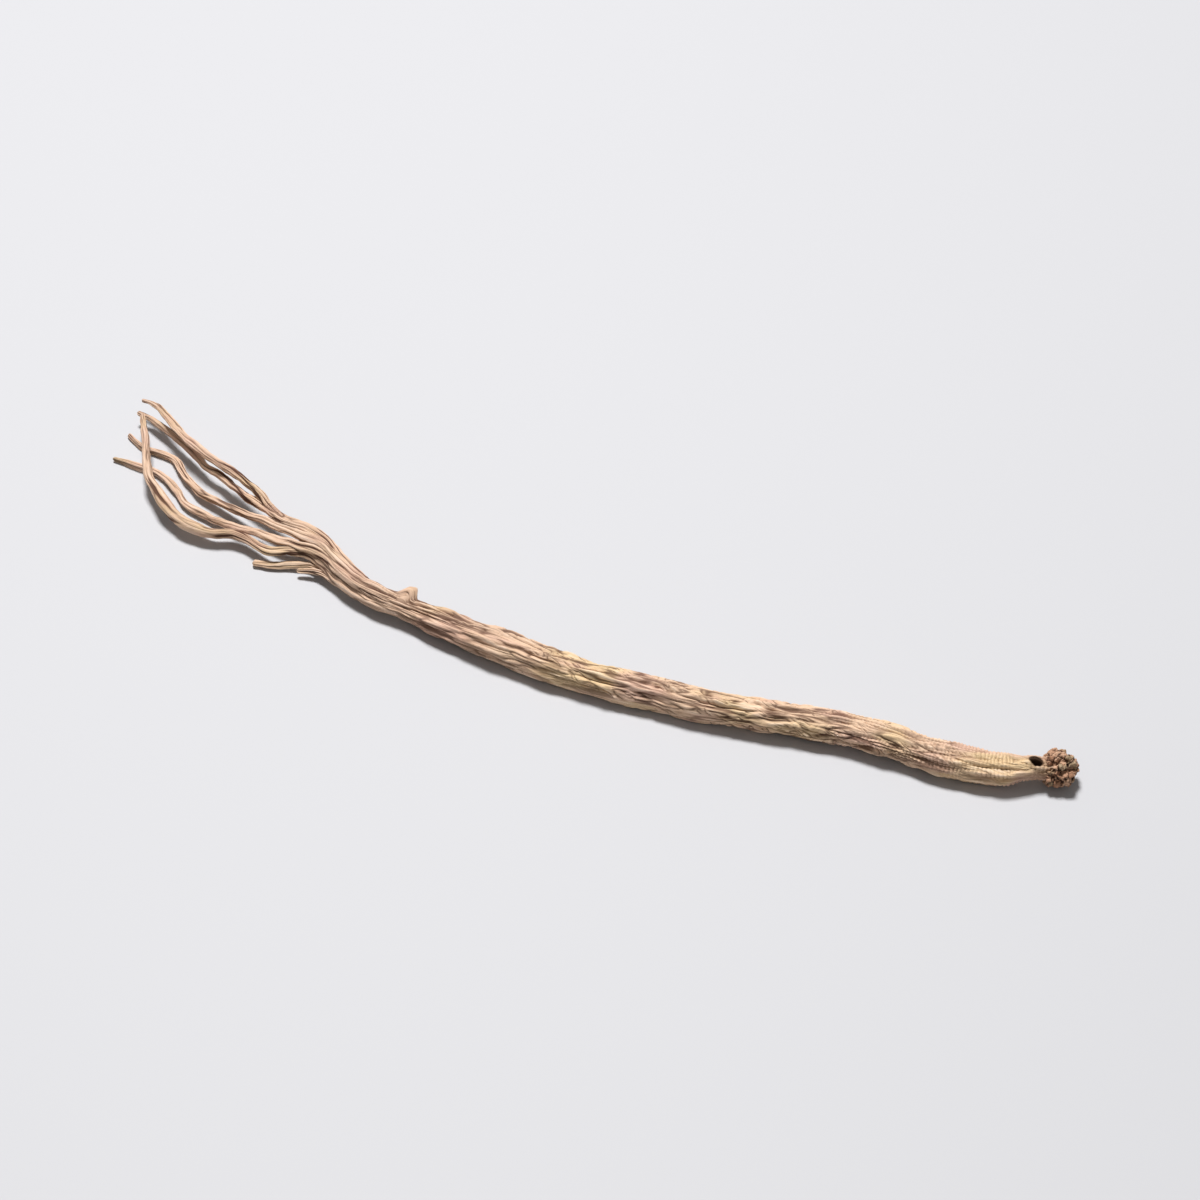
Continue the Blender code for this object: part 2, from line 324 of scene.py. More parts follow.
def tint(*seen):
    """A colour as seen on a screen, from 0 to 255, in the linear values that shaders take."""
    linear = [((channel / 255 + 0.055) / 1.055) ** 2.4 for channel in seen]
    return (*linear, 1.0)


def attribute(tree, label, out="Fac"):
    """What the mesh stores under the label, as a material reads it."""
    return Wire.add(tree, "ShaderNodeAttribute", {"attribute_name": label}, {}, out)


def hollows_shaded(colour):
    """The colour, with painted shade where the surface is sunken and along seams between strands.
    """
    deep = attribute(colour.tree, "hollow").rise(0.08, 0.9) * 0.7
    seam = attribute(colour.tree, "seam") * 0.7
    return blend(deep.most(seam), colour, tint(*HOLLOW_SHADE), "RGBA")


def skin_colour(grain, relief, low):
    """Buff and mottled, with a painted highlight on its folds, painted shade where it is low and
    inside the string's hole, and darker by the head.
    """
    tree = grain.tree
    past_fork = parts_of(grain)[0].rise(*FADES_BETWEEN)
    skin = {}
    for label, (on_body, beyond) in TINTS.items():
        skin[label] = blend(past_fork, tint(*on_body), tint(*beyond), "RGBA")
    object_place = Wire.add(tree, "ShaderNodeTexCoord", out="Object")
    place = vector_math("SCALE", object_place, 1.0 / MM)

    yellowed = noise(place, (24.0, 12.0, 12.0), 2.0).rise(0.46, 0.68)
    colour = blend(yellowed * 0.8, skin["plain"], skin["yellowed"], "RGBA")
    elsewhere = vector_math("ADD", place, (40.0, 0.0, 0.0))
    blushing = noise(elsewhere, (16.0, 8.0, 8.0), 2.0).rise(0.48, 0.66)
    colour = blend(blushing * 0.65, colour, skin["blushing"], "RGBA")
    fibres = noise(grain, (4.0, 0.35, 0.35), 3.0, 0.6).rise(0.40, 0.70)
    colour = blend(fibres * 0.30, colour, tint(*FIBRE_BROWN), "RGBA")
    specks = noise(grain, (0.9, 0.40, 0.40), 1.0).rise(0.62, 0.74)
    colour = blend(specks * 0.35, colour, tint(*SPECK_BROWN), "RGBA")

    # Painted shade in the creases and in the ripples' valleys, where the folds are vigorous.
    furrows = low * 0.92 * attribute(tree, "folded")
    colour = blend(furrows, colour, skin["furrow"], "RGBA")
    # Painted highlight on the tops of the folds.
    colour = blend(relief.rise(0.78, 0.96) * 0.5, colour, skin["crest"], "RGBA")
    by_head = vector_math("DISTANCE", place, HEAD_CENTRE).rise(12.0, 5.5)
    colour = blend(by_head * 0.45, colour, tint(*NECK_BROWN), "RGBA")
    colour = hollows_shaded(colour)
    # Painted shade inside the string's hole, from its rim down.
    below_rim = parts_of(place)[2].rise(HOLE_PLACE.z + 0.7, HOLE_PLACE.z - 1.0)
    inside = attribute(tree, "pierced") * below_rim
    return blend(inside * 0.92, colour, tint(*HOLE_SHADE), "RGBA")


def dried_material(name, relief_of, colour_of):
    """A dry material, dullest where it is low, with fibres and pores too fine for the mesh."""
    material = bpy.data.materials.new(name)
    material.use_nodes = True
    tree = material.node_tree
    shader = tree.nodes["Principled BSDF"]
    grain = attribute(tree, "grain", "Vector")
    relief, crease_shade = relief_of(grain)
    # Where the colour gets painted shade: the creases and the valleys between ripples. It also
    # roughens them.
    low = crease_shade.most(attribute(tree, "ripples").rise(0.45, 1.0) * 0.5)
    pores = noise(grain, (0.7, 0.4, 0.4), 2.0, 0.6)
    fine = noise(grain, (2.4, 0.3, 0.3), 3.0, 0.6) * 0.16 + pores * 0.14 + relief * 0.12
    bump = {"Height": fine * MM, "Distance": 1.0, "Strength": 1.0}
    bump = Wire.add(tree, "ShaderNodeBump", {}, bump)
    tree.links.new(colour_of(grain, relief, low).socket, shader.inputs["Base Color"])
    tree.links.new((0.80 + 0.14 * low).socket, shader.inputs["Roughness"])
    tree.links.new(bump.socket, shader.inputs["Normal"])
    shader.inputs["Specular IOR Level"].default_value = 0.25
    return material


def tree_taking(name, takes, gives, sizes=(), counts=()):
    """A new node tree that takes a piece, named sizes and named counts, and gives a piece. It
    comes with a wire for each thing it takes."""
    tree = bpy.data.node_groups.new(name, "GeometryNodeTree")
    taken = [(takes, "NodeSocketGeometry")]
    taken += [(label, "NodeSocketFloat") for label in sizes]
    taken += [(label, "NodeSocketInt") for label in counts]
    for label, kind in taken:
        tree.interface.new_socket(label, in_out="INPUT", socket_type=kind)
    tree.interface.new_socket(gives, in_out="OUTPUT", socket_type="NodeSocketGeometry")
    given = tree.nodes.new("NodeGroupInput")
    return tree, {label: Wire(tree, given.outputs[label]) for label, kind in taken}


def giving(piece):
    """The piece's node tree, which now gives the piece."""
    result = piece.tree.nodes.new("NodeGroupOutput")
    piece.tree.links.new(piece.socket, result.inputs[0])
    return piece.tree


def stored(piece, label, value, kind="FLOAT"):
    """The piece with a value stored at each of its points, under the label."""
    settings = {"data_type": kind, "domain": "POINT"}
    sockets = {"Geometry": piece, "Name": label, "Value": value}
    return Wire.add(piece.tree, "GeometryNodeStoreNamedAttribute", settings, sockets)


def recalled(tree, label, kind="FLOAT"):
    """What was stored under the label."""
    return Wire.add(tree, "GeometryNodeInputNamedAttribute", {"data_type": kind}, {"Name": label})


def blurred(value, times, kind="FLOAT"):
    sockets = {"Value": value, "Iterations": times}
    return Wire.add(value.tree, "GeometryNodeBlurAttribute", {"data_type": kind}, sockets)


def skinned_strand(name, ridges, relief_of):
    """A node tree that skins a path with ridges, folds and, near its start, ripples round it, and
    stores what the skin's colours need."""
    sizes = ("Grain half", "Grain start", "Fold depth", "Tip length", "Sway", "Knot depth",
             "Ripple depth", "Ripple reach")
    tree, given = tree_taking(name, "Path", "Strand", sizes, ["Sides"])

    def add(kind, settings=(), sockets=(), out=0):
        return Wire.add(tree, kind, settings, sockets, out)

    astray = noise(add("GeometryNodeInputPosition"), (7.0, 7.0, 7.0), 1.0, 0.5, out=1)
    astray = vector_math("SUBTRACT", astray, (0.5, 0.5, 0.5))
    sway = {"Geometry": given["Path"], "Offset": vector_math("SCALE", astray, given["Sway"])}
    path = add("GeometryNodeSetPosition", {}, sway)
    path = stored(path, "middle", add("GeometryNodeInputPosition"), "FLOAT_VECTOR")
    path = stored(path, "onward", add("GeometryNodeInputTangent"), "FLOAT_VECTOR")
    so_far = add("GeometryNodeSplineParameter", out="Length")
    path = stored(path, "along", so_far)
    path = stored(path, "half", add("GeometryNodeInputRadius"))
    share = add("GeometryNodeSplineParameter", out="Factor").most(0.001)
    path = stored(path, "whole", so_far / share)
    path = add("GeometryNodeSetCurveNormal", {"mode": "Z_UP"}, {"Curve": path})
    ring = {"Resolution": given["Sides"]}
    ring = add("GeometryNodeCurvePrimitiveCircle", {"mode": "RADIUS"}, ring)
    skin = {"Curve": path, "Profile Curve": ring, "Fill Caps": True}
    strand = add("GeometryNodeCurveToMesh", {}, skin)

    middle = recalled(tree, "middle", "FLOAT_VECTOR")
    onward = recalled(tree, "onward", "FLOAT_VECTOR")
    along = recalled(tree, "along")
    outward = vector_math("SUBTRACT", add("GeometryNodeInputPosition"), middle)
    outward = vector_math("NORMALIZE", outward)
    straight_up = add("FunctionNodeInputVector", {"vector": (0, 0, 1)})
    beside = vector_math("NORMALIZE", vector_math("CROSS_PRODUCT", straight_up, onward))
    above = vector_math("CROSS_PRODUCT", onward, beside)
    upward = vector_math("DOT_PRODUCT", outward, above)
    sideways = vector_math("DOT_PRODUCT", outward, beside)
    turn = sideways.math("ARCTAN2", sideways, upward)
    scale = 1.0
    for count, drift, start, height in ridges:
        phase = turn * count + along * drift + start
        scale = scale + phase.math("COSINE", phase) * height

    across = given["Grain half"]
    grain_parts = {0: along + given["Grain start"], 1: upward * across, 2: sideways * across}
    grain = add("ShaderNodeCombineXYZ", {}, grain_parts)
    relief = relief_of(grain)[0]
    vigour = noise(grain, (30.0, 8.0, 8.0)).rise(0.30, 0.60) * 0.4 + 0.6
    bunched = noise(grain, (5.0, 2.5, 2.5)) * 9.0
    crest = along * (2.0 * math.pi / RIPPLE_GAP) + bunched
    in_places = noise(grain, (12.0, 3.5, 3.5)).rise(0.30, 0.52)
    rippled = along.rise(given["Ripple reach"], RIPPLES_DEEP_TO) * in_places
    ripples = (crest.math("SINE", crest) * 0.5 + 0.5) * rippled
    knots = (noise(grain, (5.0, 3.6, 3.6), 2.0) - 0.5) * 2.0 * given["Knot depth"]
    past = ((along - recalled(tree, "whole")) / given["Tip length"] + 1.0).most(0.0)
    tip = (1.0 - past * past).most(0.04) ** 0.5
    sunk = given["Fold depth"] * vigour * (1.0 - relief) + ripples * given["Ripple depth"]
    half = recalled(tree, "half") * scale + given["Fold depth"] * 0.15
    reach = (half + knots - sunk) * tip
    place = vector_math("ADD", middle, vector_math("SCALE", outward, reach))
    strand = stored(strand, "grain", grain, "FLOAT_VECTOR")
    strand = stored(strand, "folded", vigour)
    strand = stored(strand, "ripples", ripples)
    strand = stored(strand, "known", 1.0)
    return giving(add("GeometryNodeSetPosition", {}, {"Geometry": strand, "Position": place}))


def finishing_tree(name, material):
    """The last node tree on every piece. It fills the tiny pockets that joining leaves inside,
    mends and softens the seams where strands meet, measures how sunken each place is, rests the
    piece on z = 0 and brings it to metres."""
    tree, given = tree_taking(name, "Piece", "Piece", ["Seam softness"])
    piece = given["Piece"]

    def changed(kind, sockets=()):
        return Wire.add(tree, kind, {}, {"Geometry": piece, **dict(sockets)})

    walls = {"Value": 1.0, "Group ID": Wire.add(tree, "GeometryNodeInputMeshIsland")}
    points = Wire.add(tree, "GeometryNodeAccumulateField", {"data_type": "FLOAT"}, walls, "Total")
    pockets = points.math("LESS_THAN", points, POCKET_POINTS)
    piece = changed("GeometryNodeDeleteGeometry", {"Selection": pockets})
    known = recalled(tree, "known")
    grain = recalled(tree, "grain", "FLOAT_VECTOR")
    spread = blurred(known, 2).most(0.001)
    around = blurred(vector_math("SCALE", grain, known), 2, "FLOAT_VECTOR")
    around = vector_math("SCALE", around, 1.0 / spread)
    seam = 1.0 - known.rise(0.4, 0.6)
    mended = blend(known.rise(0.4, 0.6), around, grain, "VECTOR")
    piece = stored(piece, "grain", mended, "FLOAT_VECTOR")
    piece = stored(piece, "seam", blurred(seam, 2).rise(0.0, 0.35))
    place = Wire.add(tree, "GeometryNodeInputPosition")
    facing = Wire.add(tree, "GeometryNodeInputNormal")
    near_seam = blurred(seam, 7).rise(0.0, 0.12) * given["Seam softness"]
    softened = blend(near_seam, place, blurred(place, 7, "FLOAT_VECTOR"), "VECTOR")
    piece = changed("GeometryNodeSetPosition", {"Position": softened})
    sag = vector_math("SUBTRACT", blurred(place, 40, "FLOAT_VECTOR"), place)
    piece = stored(piece, "hollow", vector_math("DOT_PRODUCT", sag, facing))
    x, y, z = parts_of(place)
    laid = Wire.add(tree, "ShaderNodeCombineXYZ", {}, {0: x, 1: y, 2: z.most(0.0)})
    piece = changed("GeometryNodeSetPosition", {"Position": laid})
    piece = changed("GeometryNodeTransform", {"Scale": (MM, MM, MM)})
    piece = changed("GeometryNodeSetShadeSmooth")
    piece = changed("GeometryNodeRealizeInstances")
    return giving(changed("GeometryNodeSetMaterial", {"Material": material}))


def smooth_path(points, rings):
    """A smooth curve through the points, as rows of x, y, z and half thickness."""
    close, wide, reach = rings
    rows = np.array(points, float)
    steps = np.linalg.norm(np.diff(rows[:, :3], axis=0), axis=1)
    knots = np.concatenate([[0.0], np.cumsum(steps)])
    slopes = np.gradient(rows, knots, axis=0)
    along = [0.0]
    while along[-1] < knots[-1]:
        widened = min(max(along[-1] / reach - 1.0, 0.0) * 3.0, 1.0)
        along.append(along[-1] + close + (wide - close) * widened)
    along = np.array(along) * knots[-1] / along[-1]
    first = np.clip(np.searchsorted(knots, along) - 1, 0, len(knots) - 2)
    span = (knots[first + 1] - knots[first])[:, None]
    t = (along - knots[first])[:, None] / span
    return (
        (2 * t**3 - 3 * t**2 + 1) * rows[first]
        + (t**3 - 2 * t**2 + t) * span * slopes[first]
        + (3 * t**2 - 2 * t**3) * rows[first + 1]
        + (t**3 - t**2) * span * slopes[first + 1]
    )


def with_inputs(piece, tree, values):
    """Puts a node tree on a piece and sets the tree's named inputs."""
    modifier = piece.modifiers.new(tree.name, "NODES")
    modifier.node_group = tree
    for item in tree.interface.items_tree:
        if item.in_out == "INPUT" and item.name in values:
            modifier[item.identifier] = values[item.name]
    return piece


def made_solid(piece):
    """The piece as its modifiers leave it, as a plain mesh object of the same name."""
    evaluated = piece.evaluated_get(bpy.context.evaluated_depsgraph_get())
    mesh = bpy.data.meshes.new_from_object(evaluated)
    name = piece.name
    bpy.data.objects.remove(piece)
    solid = bpy.data.objects.new(name, mesh)
    stage_collection.objects.link(solid)
    return solid


def strand(name, points, rings, tree, values):
    """One strand of the root, skinned along its path."""
    rows = smooth_path(points, rings)
    curve = bpy.data.curves.new(name, "CURVE")
    curve.dimensions = "3D"
    spline = curve.splines.new("POLY")
    spline.points.add(len(rows) - 1)
    for point, (x, y, z, half) in zip(spline.points, rows):
        point.co = (x, y, z, 1.0)
        point.radius = half
    piece = bpy.data.objects.new(name, curve)
    stage_collection.objects.link(piece)
    return made_solid(with_inputs(piece, tree, values))


def object_from(mesh, name):
    data = bpy.data.meshes.new(name)
    mesh.to_mesh(data)
    mesh.free()
    piece = bpy.data.objects.new(name, data)
    stage_collection.objects.link(piece)
    return piece


def combined(piece, operation, others):
    """Joins other solids to the piece or cuts them from it, and removes them."""
    for other in others:
        boolean = piece.modifiers.new(operation, "BOOLEAN")
        boolean.operation = operation
        boolean.solver = "MANIFOLD"
        boolean.object = other
    piece = made_solid(piece)
    for other in others:
        bpy.data.objects.remove(other)
    return piece


def scars_tree():
    """A node tree that raises the stump of a rootlet and the lip round the string's hole."""
    tree, given = tree_taking("stump_and_lip", "Body", "Body", ["Stump height", "Lip height"])
    place = Wire.add(tree, "GeometryNodeInputPosition")
    facing = Wire.add(tree, "GeometryNodeInputNormal")
    stump_way = Wire.add(tree, "FunctionNodeInputVector", {"vector": STUMP_WAY})
    from_stump = vector_math("SUBTRACT", place, STUMP_PLACE)
    up_stump = vector_math("DOT_PRODUCT", from_stump, STUMP_WAY)
    off_axis = vector_math("DISTANCE", from_stump, vector_math("SCALE", stump_way, up_stump))
    end_half, base_half = STUMP_HALF
    ragged = noise(place, (1.1, 1.1, 1.1), 2.0) * 1.8 - 0.9
    swell = (off_axis + ragged * 0.3).rise(base_half, end_half) * up_stump.rise(-3.5, -1.5)
    height = given["Stump height"] + ragged * 0.7
    stump = vector_math("SCALE", stump_way, swell * height)
    from_hole = vector_math("DIVIDE", vector_math("SUBTRACT", place, HOLE_PLACE), HOLE_HALF)
    off_hole = vector_math("LENGTH", vector_math("MULTIPLY", from_hole, (1.0, 1.0, 0.0)))
    on_top = parts_of(from_hole)[2].rise(-0.4, 0.0)
    lip = off_hole.rise(1.9, 1.15) * off_hole.rise(0.2, 0.9) * on_top
    lip = vector_math("SCALE", facing, lip * given["Lip height"])
    folded = recalled(tree, "folded") * (1.0 - swell.rise(0.0, 0.5) * 0.85)
    body = stored(given["Body"], "folded", folded)
    evened = blurred(place, 10, "FLOAT_VECTOR")
    evened = blend(swell.rise(0.0, 0.4) * 0.9, place, evened, "VECTOR")
    raised = vector_math("ADD", evened, vector_math("ADD", stump, lip))
    sockets = {"Geometry": body, "Position": raised}
    return giving(Wire.add(tree, "GeometryNodeSetPosition", {}, sockets))


def string_hole():
    """The plug that the hole is cut with. It carries the skin's values for the hole's wall."""
    mesh = bmesh.new()
    bmesh.ops.create_icosphere(mesh, subdivisions=4, radius=1.0)
    for vertex in mesh.verts:
        vertex.co = HOLE_PLACE + Vector([way * half for way, half in zip(vertex.co, HOLE_HALF)])
    plug = object_from(mesh, "string_hole")
    for label in ("pierced", "known"):
        layer = plug.data.attributes.new(label, "FLOAT", "POINT")
        for entry in layer.data:
            entry.value = 1.0
    layer = plug.data.attributes.new("grain", "FLOAT_VECTOR", "POINT")
    for entry, vertex in zip(layer.data, plug.data.vertices):
        entry.vector = vertex.co
    return plug


body_tree = skinned_strand("furrowed_body", BODY_RIDGES, skin_relief)
body_values = {
    "Sides": BODY_SIDES,
    "Grain half": BODY_HALF,
    "Grain start": 0.0,
    "Fold depth": BODY_FOLD_DEPTH,
    "Tip length": 0.5,
    "Sway": 0.5,
    "Knot depth": 0.1,
    "Ripple depth": 0.38,
    "Ripple reach": 110.0,
}
body_skin = dried_material("dried_root_skin", skin_relief, skin_colour)
body_finish = finishing_tree("finished_body", body_skin)
body = strand("root_body", BODY_PATH, BODY_RINGS, body_tree, body_values)
scar_values = {"Stump height": STUMP_HEIGHT, "Lip height": LIP_HEIGHT}
body = made_solid(with_inputs(body, scars_tree(), scar_values))
body = combined(body, "DIFFERENCE", [string_hole()])
body = made_solid(with_inputs(body, body_finish, {"Seam softness": 0.8}))
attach(body, "root")
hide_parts("root")


# The rootlets: thin, wavy strands into which the body parts at its far end. They grew out of it,
# side by side, and dried stiff, with shallow furrows along them and blunt, snapped tips.
ROOTLET_HALF = 1.4
ROOTLET_SIDES = 40
# The middle of each rootlet: x, y, z and half its thickness as a share of ROOTLET_HALF
ROOTLET_PATHS = (
    (
        (-44, -24.2, 4.8, 1.2),
        (-54, -23.6, 4.8, 1.25),
        (-63, -21.8, 4.7, 1.25),
        (-74, -16.2, 4.7, 1.2),
        (-81, -11.4, 4.8, 1.2),
        (-87, -9.0, 5.0, 1.15),
        (-92, -10.0, 4.9, 1.1),
        (-98, -12.0, 4.6, 1.05),
        (-105, -9.5, 4.4, 1.05),
        (-111, -8.0, 4.4, 1.2),
        (-118, -9.6, 4.4, 1.35),
        (-125, -9.2, 4.5, 1.6),
        (-132, -7.0, 4.9, 1.65),
        (-139.5, -1.4, 5.8, 1.5),
        (-147, 6.0, 6.8, 1.2),
        (-152, 16.0, 7.8, 1.0),
        (-156, 24.0, 8.0, 0.85),
        (-160.5, 32.0, 7.0, 0.6),
    ),
    (
        (-46, -23.6, 6.2, 1.1),
        (-56, -22.2, 7.2, 1.15),
        (-65, -19.8, 7.6, 1.15),
        (-74, -14.9, 7.6, 1.15),
        (-82, -9.9, 7.2, 1.1),
        (-90, -8.0, 6.4, 1.05),
        (-97, -7.0, 5.2, 1.0),
        (-105, -5.0, 4.0, 1.0),
        (-114, -3.5, 3.0, 1.0),
        (-124, -1.0, 2.2, 1.0),
        (-132, 2.0, 1.7, 0.95),
        (-139, 8.0, 1.3, 0.95),
        (-147, 13.0, 1.1, 0.9),
        (-157, 14.5, 1.1, 0.85),
        (-164, 15.0, 1.2, 0.5),
    ),
    (
        (-48, -22.2, 6.4, 1.1),
        (-57, -20.4, 7.4, 1.15),
        (-65, -18.0, 8.0, 1.15),
        (-74, -12.9, 8.2, 1.15),
        (-83, -7.0, 8.0, 1.1),
        (-91, -4.5, 7.4, 1.05),
        (-101, -1.5, 6.0, 1.0),
        (-112, 1.0, 5.0, 1.0),
        (-121, 4.0, 4.0, 1.0),
        (-130, 7.6, 3.0, 1.0),
        (-138, 14.0, 2.1, 0.95),
        (-146, 21.0, 1.4, 0.9),
        (-152, 22.0, 1.1, 0.9),
        (-158, 23.5, 1.1, 0.8),
        (-164, 27.4, 1.2, 0.5),
    ),
    (
        (-46, -22.0, 5.6, 1.1),
        (-56, -19.6, 6.0, 1.15),
        (-64, -16.8, 6.4, 1.2),
        (-73, -11.2, 6.8, 1.2),
        (-81, -5.2, 7.4, 1.2),
        (-90, -1.6, 7.8, 1.15),
        (-98, 0.0, 7.4, 1.15),
        (-107, 4.0, 6.8, 1.1),
        (-115, 8.0, 6.2, 1.05),
        (-123, 13.0, 5.8, 1.0),
        (-132, 17.0, 5.2, 1.0),
        (-139, 22.0, 5.0, 0.95),
        (-145, 26.0, 4.8, 0.9),
        (-152, 30.0, 4.6, 0.85),
        (-159, 33.5, 4.6, 0.75),
        (-163.5, 34.5, 4.6, 0.5),
    ),
    (
        (-98, 0.0, 7.4, 0.9),
        (-104, 3.5, 7.8, 0.95),
        (-112, 9.0, 9.0, 0.95),
        (-120, 13.0, 9.6, 0.95),
        (-128, 16.0, 10.0, 0.9),
        (-136, 20.0, 10.0, 0.9),
        (-143, 24.5, 9.8, 0.85),
        (-151, 31.0, 9.0, 0.8),
        (-158, 36.5, 7.8, 0.7),
        (-163, 38.0, 7.0, 0.45),
    ),
    (
        (-52, -22.6, 3.9, 1.0),
        (-62, -20.6, 3.6, 1.0),
        (-69, -18.0, 3.5, 0.95),
        (-76, -14.4, 3.2, 0.9),
        (-84, -11.9, 2.6, 0.85),
        (-90, -12.4, 1.9, 0.8),
        (-97, -14.6, 1.3, 0.8),
        (-103, -15.2, 1.2, 0.7),
    ),
    (
        (-56, -23.0, 4.0, 0.9),
        (-66, -20.9, 3.9, 0.9),
        (-73, -17.4, 3.7, 0.85),
        (-81, -14.6, 3.2, 0.75),
        (-88, -15.0, 2.6, 0.55),
    ),
)
ROOTLET_RIDGES = (
    (0, 0.42, 1.0, 0.060),
    (2, 0.050, 0.4, 0.130),
    (3, 0.140, 1.0, 0.080),
)
ROOTLET_RINGS = (0.5, 0.5, 1.0)  # as the body's, but the same gap all along
GRAIN_START = 300.0  # of the first rootlet, well away from the body's grain
GRAIN_STEP = 60.0  # between the grain's starts on one rootlet and the next


def strip_relief(grain):
    """How high a rootlet's skin stands, and how much painted shade it gets: a few long, sharp
    grooves between round strips."""
    waves = wander(grain, (16.0, 5.0, 5.0), (7.0, 1.8, 1.8))
    strips = folds(waves, (36.0, 2.8, 2.8), 2.8)
    in_places = noise(grain, (14.0, 3.0, 3.0), 0.0).rise(0.34, 0.48)
    grooves = creases(waves, (22.0, 2.0, 2.0), 0.30) * in_places
    striae = noise(waves, (9.0, 0.6, 0.6), 1.0)
    relief = 0.44 * strips + 0.44 * (1.0 - grooves) + 0.12 * striae.rise(0.3, 0.6)
    return relief, relief.rise(0.74, 0.39)


rootlet_tree = skinned_strand("furrowed_rootlet", ROOTLET_RIDGES, strip_relief)
rootlet_skin = dried_material("dried_rootlet_skin", strip_relief, skin_colour)
rootlet_finish = finishing_tree("finished_rootlets", rootlet_skin)
rootlet_values = {
    "Sides": ROOTLET_SIDES,
    "Grain half": 1.6 * ROOTLET_HALF,
    "Fold depth": 0.75,
    "Tip length": 0.7,
    "Sway": 1.0,
    "Knot depth": 0.35,
    "Ripple depth": 0.0,
    "Ripple reach": 20.0,
}
rootlets = []
for k, rows in enumerate(ROOTLET_PATHS):
    points = [(x, y, z, share * ROOTLET_HALF) for x, y, z, share in rows]
    values = {**rootlet_values, "Grain start": GRAIN_START + k * GRAIN_STEP}
    rootlets.append(strand(f"rootlet_{k + 1}", points, ROOTLET_RINGS, rootlet_tree, values))
rootlets = combined(rootlets[0], "UNION", rootlets[1:])
rootlets.name = "rootlets"
rootlets = made_solid(with_inputs(rootlets, rootlet_finish, {"Seam softness": 0.5}))
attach(rootlets, "root")
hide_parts("root")


# The head: a clump of buds and stem scars at the top of the root, where a stem grew and died back
# each year. Each scar is a stub with a sunken end, and they crowd together on a short core.
HEAD_AXIS = Vector((0.93, 0.36, 0.0))
HEAD_CORE_HALF = 4.2
KNOB_COUNT = 44
KNOB_SEED = 5
KNOB_COVER = 0.86  # how much of the core they cover, from its far end back towards the neck
KNOB_HALF = (0.9, 1.8)
KNOB_REACH = 4.7  # from the middle of the head, give or take KNOB_SHIFT
KNOB_SHIFT = (-0.4, 0.3)
KNOB_TURN = 0.25  # how far its place may be turned round the head, in radians
OLD_SCAR_WAY = Vector((0.80, -0.57, 0.10))  # the widest scar, where the last stem stood
OLD_SCAR_REACH = 4.6
OLD_SCAR_HALF = 2.1
# A knob from its foot to its sunken end: out from its axis and up along it, in half widths
KNOB_PROFILE = (
    (0.0, -1.6), (0.55, -1.45), (0.80, -0.80), (0.92, -0.1), (0.97, 0.35), (0.84, 0.66),
    (0.62, 0.86), (0.44, 0.84), (0.26, 0.66), (0.0, 0.60),
)
KNOB_SIDES = 14
HEAD_VOXEL = 0.15
GAP_DEPTH = 1.05
KNOB_BUFF = (216, 176, 146)
KNOB_BROWN = (176, 132, 104)
KNOB_GREY = (172, 158, 126)
GRIT_BROWN = (126, 86, 62)
# painted shade in the gaps between the head's lumps
GAP_SHADE = (46, 25, 17)


def turned_knob():
    """A stub with a sunken end, turned from its profile about +Z."""
    mesh = bmesh.new()
    rings = []
    for out, up in KNOB_PROFILE:
        count = KNOB_SIDES if out else 1
        turns = [2 * math.pi * k / count for k in range(count)]
        rings.append([mesh.verts.new((out * math.cos(t), out * math.sin(t), up)) for t in turns])
    for lower, upper in zip(rings, rings[1:]):
        for k in range(KNOB_SIDES):
            after = (k + 1) % KNOB_SIDES
            if len(lower) == 1:
                mesh.faces.new((lower[0], upper[after], upper[k]))
            elif len(upper) == 1:
                mesh.faces.new((lower[k], lower[after], upper[0]))
            else:
                mesh.faces.new((lower[k], lower[after], upper[after], upper[k]))
    bmesh.ops.recalc_face_normals(mesh, faces=mesh.faces)
    return mesh


def knob_rows():
    """Where each knob stands, the way it points and half its size."""
    chance = random.Random(KNOB_SEED)
    golden_turn = math.pi * (3 - math.sqrt(5))
    axis = HEAD_AXIS.normalized()
    above = Vector((0, 0, 1))
    beside = above.cross(axis)
    for k in range(KNOB_COUNT):
        forward = 1 - 2 * KNOB_COVER * (k + 0.5) / KNOB_COUNT
        outward = math.sqrt(1 - forward**2)
        turn = k * golden_turn + chance.uniform(-KNOB_TURN, KNOB_TURN)
        way = forward * axis + outward * (math.cos(turn) * beside + math.sin(turn) * above)
        half = chance.uniform(*KNOB_HALF)
        place = HEAD_CENTRE + (KNOB_REACH + chance.uniform(*KNOB_SHIFT)) * way
        yield place, way, half
    way = OLD_SCAR_WAY.normalized()
    yield HEAD_CENTRE + OLD_SCAR_REACH * way, way, OLD_SCAR_HALF


def clump_tree(knob):
    """A node tree that stands a knob on each point, along the point's own way, on a round core."""
    tree, given = tree_taking("clump_of_knobs", "Points", "Clump", ["Core half"])
    way = {"Vector": recalled(tree, "way", "FLOAT_VECTOR")}
    sockets = {
        "Points": given["Points"],
        "Instance": Wire.add(tree, "GeometryNodeObjectInfo", {}, {"Object": knob}, "Geometry"),
        "Rotation": Wire.add(tree, "FunctionNodeAlignRotationToVector", {"axis": "Z"}, way),
        "Scale": recalled(tree, "size"),
    }
    knobs = Wire.add(tree, "GeometryNodeInstanceOnPoints", {}, sockets)
    ball = {"Radius": given["Core half"], "Subdivisions": 4}
    core = Wire.add(tree, "GeometryNodeMeshIcoSphere", {}, ball)
    core = {"Geometry": core, "Translation": HEAD_CENTRE}
    core = Wire.add(tree, "GeometryNodeTransform", {}, core)
    both = tree.nodes.new("GeometryNodeJoinGeometry")
    for part in (knobs, core):
        tree.links.new(part.socket, both.inputs[0])
    both = {"Geometry": Wire(tree, both.outputs[0])}
    return giving(Wire.add(tree, "GeometryNodeRealizeInstances", {}, both))


